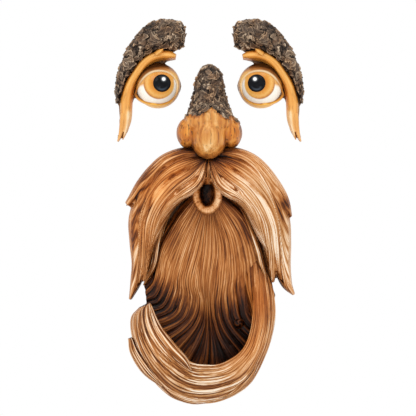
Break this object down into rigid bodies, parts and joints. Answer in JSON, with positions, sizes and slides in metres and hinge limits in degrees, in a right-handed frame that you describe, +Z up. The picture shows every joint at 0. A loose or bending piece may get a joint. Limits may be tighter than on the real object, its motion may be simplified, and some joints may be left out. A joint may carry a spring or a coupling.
{
  "type": "tree face bird feeder",
  "caption": "Carved-look face of separate eyes, nose and long beard that hangs on a tree trunk, the beard curling forward into an open seed bowl.",
  "frame": {"origin": "on the flat back of the feeder, on the middle line of the face, level with the top of the open mouth", "axes": "+Y out of the flat backs and into the trunk, so the face looks along -Y; +Z up the trunk; +X to a viewer's right"},
  "size_m": [0.1927, 0.0782, 0.3866],
  "materials": {
    "beard_resin": "cast resin painted as brown hair, dark in the grooves and dry-brushed cream on the ridges, satin varnish",
    "nose_resin": "cast resin painted as golden wood with dark grain below and dark bark above, satin varnish",
    "brow_resin": "cast resin painted as dark bark over golden wood, with a gloss amber eye and a black pupil"
  },
  "bodies": {
    "root": {"feeder": "beard_resin", "nose": "nose_resin", "eye_left": "brow_resin", "eye_right": "brow_resin"}
  },
  "joints": []
}
